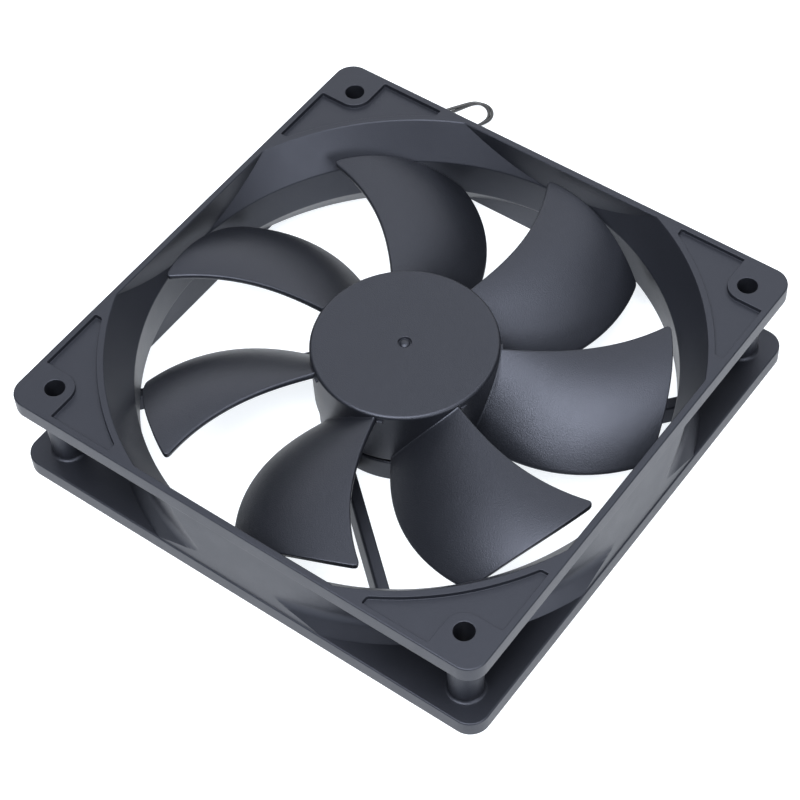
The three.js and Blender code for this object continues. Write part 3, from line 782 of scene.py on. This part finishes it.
def blade():
    """A curved blade with rounded edges, a square tip and a small fillet at its root."""
    root = (BLADE_ROOT_R - HUB_R) / BLADE_REACH
    shares, steps = blade_shares(), blade_steps(root)
    round_trip = [(s, True) for s in shares] + [(s, False) for s in reversed(shares)]
    points = [blade_point(t, s, upper, root) for t in steps for s, upper in round_trip]
    ring = len(round_trip)
    faces = []
    for i in range(len(steps) - 1):
        for j in range(ring):
            n = (j + 1) % ring
            faces.append((i * ring + j, (i + 1) * ring + j, (i + 1) * ring + n, i * ring + n))
    last = (len(steps) - 1) * ring
    for j in range(len(shares) - 1):
        for start, flip in ((0, True), (last, False)):
            quad = (start + j, start + j + 1, start + ring - 2 - j, start + ring - 1 - j)
            faces.append(quad if flip else quad[::-1])
    made = mesh_object("blade", points, faces)
    outward(made)
    return made


def hub():
    """A deep cup with a pocket for the shaft's insert, and a small dome in the gate's mark on top."""
    inner = HUB_R - HUB_WALL
    gate_floor = HUB_TOP - GATE_DEPTH
    profile = rounded([
        (0, HUB_ROOF, 0),
        (INSERT_HOLE_R, HUB_ROOF, 0),
        (INSERT_HOLE_R, INSERT_LOW, 0.2),
        (INSERT_WALL_R, INSERT_LOW, 0.2),
        (INSERT_WALL_R, HUB_ROOF, 0.3),
        (inner, HUB_ROOF, 0.5),
        (inner, HUB_LOW, 0.2),
        (HUB_R - 0.1, HUB_LOW, 0.25),
        (HUB_R, HUB_TOP, HUB_EDGE_R),
        (GATE_R, HUB_TOP, 0.12),
        (GATE_R - 0.15, gate_floor, 0.05),
        (1.15, gate_floor, 0.05),
        (1.05, HUB_TOP - 0.36, 0),
        (0.85, HUB_TOP - 0.2, 0),
        (0.55, HUB_TOP - 0.09, 0),
        (0.25, HUB_TOP - 0.04, 0),
        (0, HUB_TOP - 0.03, 0),
    ], closed=False)
    return lathe("hub", profile, 180)


def ledge():
    """The small step in the hub's side where the mould's two halves meet beside each blade."""
    outline = rounded([(-0.3, -0.7, 0.1), (0.45, -0.7, 0.15), (0.45, 0.7, 0.15), (-0.3, 0.7, 0.1)])
    made = loft("ledge", outline, edge_levels(21.1, 21.7, 0.12, 2))
    return turned(shifted(made, HUB_R - 0.02, 0), LEDGE_ANGLE)


def impeller_piece():
    rotor = hub()
    rotor.name = "impeller_surface"
    turns = [360 * k / BLADES for k in range(BLADES)]
    blades = [turned(blade(), turn) for turn in turns]
    inside, over = HUB_R - HUB_WALL + 0.3, DEPTH + 5
    for one in blades:
        core = lathe("core", [(0, 0), (inside, 0), (inside, over), (0, over)], 96)
        combine(one, "DIFFERENCE", [core])
    combine(rotor, "UNION", blades)
    combine(rotor, "UNION", [joined("ledges", [turned(ledge(), turn) for turn in turns])])
    smooth(rotor, 40)
    return paint(rotor, ROTOR_PLASTIC)


# ---------------------------------------------------------------- lead


def spline(points, per_span):
    """A centripetal Catmull-Rom curve through the points."""
    points = [Vector(p) for p in points]
    ends = [points[0] * 2 - points[1], *points, points[-1] * 2 - points[-2]]
    made = []
    for i in range(1, len(ends) - 2):
        p0, p1, p2, p3 = ends[i - 1:i + 3]
        t1 = (p1 - p0).length ** 0.5
        t2 = t1 + (p2 - p1).length ** 0.5
        t3 = t2 + (p3 - p2).length ** 0.5
        for k in range(per_span):
            t = t1 + (t2 - t1) * k / per_span
            a1 = p0.lerp(p1, t / t1)
            a2 = p1.lerp(p2, (t - t1) / (t2 - t1))
            a3 = p2.lerp(p3, (t - t2) / (t3 - t2))
            b1 = a1.lerp(a2, t / t2)
            b2 = a2.lerp(a3, (t - t1) / (t3 - t1))
            made.append(b1.lerp(b2, (t - t1) / (t2 - t1)))
    made.append(points[-1])
    return made


def strut_point(along, height):
    a = math.radians(STRUT_ANGLE + 90 * WIRE_STRUT)
    side = Vector((math.sin(a), -math.cos(a), 0))
    run = Vector((math.cos(a), math.sin(a), 0))
    return side * STRUT_OFFSET + run * along + Vector((0, 0, height))


def held_route():
    """In the strut's channel, from under the circuit board to the edge of the outlet flange."""
    return [
        strut_point(-1, 2.2), strut_point(2, 1.7), strut_point(4.5, 1.4), strut_point(8, EXIT.z),
        strut_point(20, EXIT.z), strut_point(45, EXIT.z), strut_point(71.5, EXIT.z), EXIT,
    ]


def bend(centre, radius, start, end):
    """Points on a level bend about a centre, from one angle to another, in degrees."""
    steps = math.ceil(abs(end - start) / 22)
    angles = [math.radians(start + (end - start) * k / steps) for k in range(steps + 1)]
    return [(centre[0] + radius * math.cos(a), centre[1] + radius * math.sin(a), LIE) for a in angles]


def loose_route():
    """On the floor: out beyond the flange, round a half turn, and back to the first run of the hank."""
    return [
        EXIT, (-46.6, 62.2, 1.1), (-48.3, 64.8, LIE), (-49.1, 68, LIE),
        (-48.8, 71.5, LIE), (-47.3, 75.2, LIE), (-45.6, 78.1, LIE), (-44.2, 80.3, LIE),
        *bend(TURN_CENTRE, TURN_R, 148, -20),
        *bend((RETURN_X, HANK_BACK + RETURN_R), RETURN_R, 160, 270),
        (-28.6, HANK_BACK, LIE), (-25, HANK_BACK, LIE), (-22, HANK_BACK, 1),
    ]


def fold(x, start, low, rise):
    """Half a turn at one end of the hank, from an angle in degrees and a height, climbing by rise."""
    points = []
    steps = 8
    for k in range(1, steps):
        angle = math.radians(start - 180 * k / steps)
        points.append((x + HANK_BEND_R * math.cos(angle), HANK_Y + HANK_BEND_R * math.sin(angle),
                       low + rise * k / steps))
    return points


def hank_route():
    """Runs between two folds, stacked in layers. Each turn climbs one layer at the fold it ends on."""
    points = []
    for layer in range(HANK_LAYERS):
        z = HANK_LIE + 2 * LEAD_R * layer
        points += [(HANK_IN, HANK_BACK, z), (HANK_X, HANK_BACK, z), (HANK_OUT, HANK_BACK, z)]
        if layer == HANK_LAYERS - 1:
            break
        points += fold(HANK_OUT, 90, z, 0)
        points += [(HANK_OUT, HANK_FRONT, z), (HANK_X, HANK_FRONT, z), (HANK_IN, HANK_FRONT, z)]
        points += fold(HANK_IN, -90, z, 2 * LEAD_R)
    return points


def tail_route():
    """From the top run of the hank down to the connector."""
    return [
        (HANK_OUT + 6.2, HANK_BACK, 4.2), (HANK_OUT + 8.5, HANK_BACK - 0.1, 3.5),
        (HANK_OUT + 11.5, HANK_BACK - 0.6, 2.9), (HANK_OUT + 14.5, HANK_BACK - 1.6, 2.6), LEAD_END,
    ]


def wire(path, sign, turns_per_mm):
    """One wire's points and faces, beside the path on the side that sign gives."""
    points, faces = [], []
    sides = 12
    travelled = 0
    for i, here in enumerate(path):
        before, after = path[max(0, i - 1)], path[min(len(path) - 1, i + 1)]
        run = (after - before).normalized()
        side = Vector((0, 0, 1)).cross(run).normalized()
        top = run.cross(side)
        if i:
            travelled += (here - path[i - 1]).length
        twist = 2 * math.pi * turns_per_mm * travelled
        centre = here + (side * math.cos(twist) + top * math.sin(twist)) * WIRE_R * sign
        for k in range(sides):
            angle = 2 * math.pi * k / sides
            points.append(centre + (side * math.cos(angle) + top * math.sin(angle)) * WIRE_R * WIRE_SHARE)
    for low in range(0, len(points) - sides, sides):
        for k in range(sides):
            n = (k + 1) % sides
            faces.append((low + k, low + n, low + sides + n, low + sides + k))
    last = len(points) - sides
    faces += [tuple(range(sides - 1, -1, -1)), tuple(range(last, last + sides))]
    return points, faces


def wire_pair(name, path, turns_per_mm):
    """Two insulated wires laid side by side along a path, turning slowly about each other."""
    points, faces = wire(path, -1, turns_per_mm)
    more_points, more_faces = wire(path, 1, turns_per_mm)
    faces += [tuple(len(points) + i for i in face) for face in more_faces]
    piece = mesh_object(name, points + more_points, faces)
    outward(piece)
    smooth(piece, 60)
    return paint(piece, INSULATION)


free_path = spline([*loose_route(), *hank_route(), *tail_route()], 6)
lead = wire_pair("lead_wires", free_path, LEAD_TWIST)
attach(lead, "housing")
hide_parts("lead", "lead_hank", "lead_tail")

held_path = spline(held_route(), 8)
held_lead = wire_pair("channel_wires", held_path, 0)
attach(held_lead, "housing")
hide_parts("channel_lead")

frame_surface = frame_piece()
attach(frame_surface, "housing")
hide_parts("frame")

impeller_surface = impeller_piece()
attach(impeller_surface, "rotor")
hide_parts("impeller")


# ---------------------------------------------------------------- connector and tie


def slab(name, low, high, radius):
    """A box between two corners, with rounded upright corners and rounded rims."""
    corner = 1.5 * radius
    outline = rounded([
        (high[0], high[1], corner), (low[0], high[1], corner),
        (low[0], low[1], corner), (high[0], low[1], corner),
    ])
    return loft(name, outline, edge_levels(low[2], high[2], radius, 2))


def connector_piece():
    """A two-way crimp housing: open cavities, a latch window over each and a pair of guide ribs."""
    low, high = extent("connector_housing")
    pin_low, pin_high = extent("connector_contact_1")
    middle = (low + high) / 2
    off_centre = abs((pin_low.y + pin_high.y) / 2 - middle.y)
    half = CAVITY / 2
    body = slab("connector_surface", low, (high.x, high.y, high.z - RIB), CONNECTOR_EDGE_R)
    for side in (-1, 1):
        y = middle.y + side * off_centre
        near, far = sorted((y + side * 0.5, middle.y + side * (high.y - low.y - 0.3) / 2))
        rib = slab("rib", (low.x + 1, near, high.z - 2 * RIB), (high.x - 3, far, high.z), 0.1)
        cavity = slab("cavity", (low.x - 1, y - half, middle.z - half),
                      (high.x + 1, y + half, middle.z + half), 0.15)
        window = slab("window", (high.x - 5.4, y - 0.55, middle.z), (high.x - 3.6, y + 0.55, high.z + 1), 0.1)
        combine(body, "UNION", [rib])
        combine(body, "DIFFERENCE", [cavity, window])
    smooth(body)
    return paint(body, DARK_NYLON)


def tie_piece():
    """A flat plastic tie round the hank: grooves across its top, and a small square lock."""
    low, high = extent("hank_tie")
    middle = (low + high) / 2
    band = slab("tie_surface", low, high, 0.15)
    inside = slab("inside", (low.x - 1, low.y + TIE_WALL, low.z + TIE_WALL),
                  (high.x + 1, high.y - TIE_WALL, high.z - TIE_WALL), 0.3)
    combine(band, "DIFFERENCE", [inside])
    for k in range(12):
        y = low.y + 1.4 + k * 0.55
        groove = slab("groove", (middle.x - 0.8, y, high.z - 0.1),
                      (middle.x + 0.8, y + 0.2, high.z + 0.4), 0.04)
        combine(band, "DIFFERENCE", [groove])
    lock_end = high.y - TIE_HEAD_IN
    lock = slab("lock", (low.x + 0.15, lock_end - TIE_HEAD, high.z - 0.6),
                (high.x - 0.15, lock_end, high.z), 0.15)
    combine(band, "UNION", [lock])
    smooth(band)
    return paint(band, DARK_NYLON)


connector_surface = connector_piece()
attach(connector_surface, "housing")
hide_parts("connector_housing")

tie_surface = tie_piece()
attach(tie_surface, "housing")
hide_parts("hank_tie")


# ---------------------------------------------------------------- CAD pieces that keep their shape

KEPT = {
    STEEL: ["rotor_yoke", "shaft"],
    FERRITE: ["magnet_ring"],
    BRASS: ["shaft_insert", "bearing_tube"],
    BRONZE: ["sleeve_bearing"],
    NYLON: ["retaining_clip", "thrust_plate", "upper_insulator", "lower_insulator"],
    EPOXY: ["oil_ring", "driver_chip", "hall_sensor", "sense_resistor"],
    CERAMIC: ["filter_capacitor"],
    LAMINATIONS: ["stator_core"],
    COPPER: [f"winding_{k}" for k in range(1, 5)],
    BOARD: ["circuit_board"],
    TINNED: [f"terminal_pin_{k}" for k in range(1, 5)] + ["connector_contact_1", "connector_contact_2"],
    LABEL: ["rear_label"],
}
for material, names in KEPT.items():
    for name in names:
        paint(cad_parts[name], material)


# ---------------------------------------------------------------- floor and light


def make_floor():
    far = 3000
    corners = [(-far, -far, 0), (far, -far, 0), (far, far, 0), (-far, far, 0)]
    floor = mesh_object("floor", corners, [(0, 1, 2, 3)])
    shader = Shader("floor")
    tone = shader.blend(shader.noise(3, 2), (0.39, 0.40, 0.42), (0.40, 0.41, 0.43))
    paint(floor, shader.finish(tone, 0.9, None, Specular_IOR_Level=0.0,
                               Emission_Color=(0.92, 0.96, 1, 1), Emission_Strength=0.87))


WORLD_STRENGTH = 0.02
LIGHT_DISTANCE = 0.9         # metres
# Azimuth and elevation in degrees, the side in metres and the power in watts. Azimuth 0 stands on -Y
# and 90 on +X, as for the camera.
SOFT_LIGHTS = [
    (0, 75, 0.6, 9.3), (0, 90, 0.6, 1.6), (2, 50, 0.25, 4.8), (40, 58, 0.6, 4.3), (72, 22, 0.35, 3.9),
    (100, 58, 0.6, 2.6), (180, 25, 0.6, 1.5), (180, 58, 0.6, 2.2), (225, 30, 0.6, 2.0), (250, 35, 0.5, 0.8),
]


def soft_light(azimuth, elevation, side, power):
    """A square soft box that faces the fan."""
    a, e = math.radians(azimuth), math.radians(elevation)
    back = Vector((math.sin(a) * math.cos(e), -math.cos(a) * math.cos(e), math.sin(e)))
    data = bpy.data.lights.new("soft_box", "AREA")
    data.shape = "SQUARE"
    data.size = side
    data.energy = power
    light = bpy.data.objects.new("soft_box", data)
    light.location = back * LIGHT_DISTANCE
    light.rotation_euler = back.to_track_quat("Z", "Y").to_euler()
    SCENE.collection.objects.link(light)


def make_world(strength):
    world = bpy.data.worlds.new("studio")
    world.use_nodes = True
    world.node_tree.nodes["Background"].inputs["Color"].default_value = (1, 1, 1, 1)
    world.node_tree.nodes["Background"].inputs["Strength"].default_value = strength
    SCENE.world = world


make_floor()
for soft_box in SOFT_LIGHTS:
    soft_light(*soft_box)
make_world(WORLD_STRENGTH)
SCENE.view_settings.view_transform = "Standard"
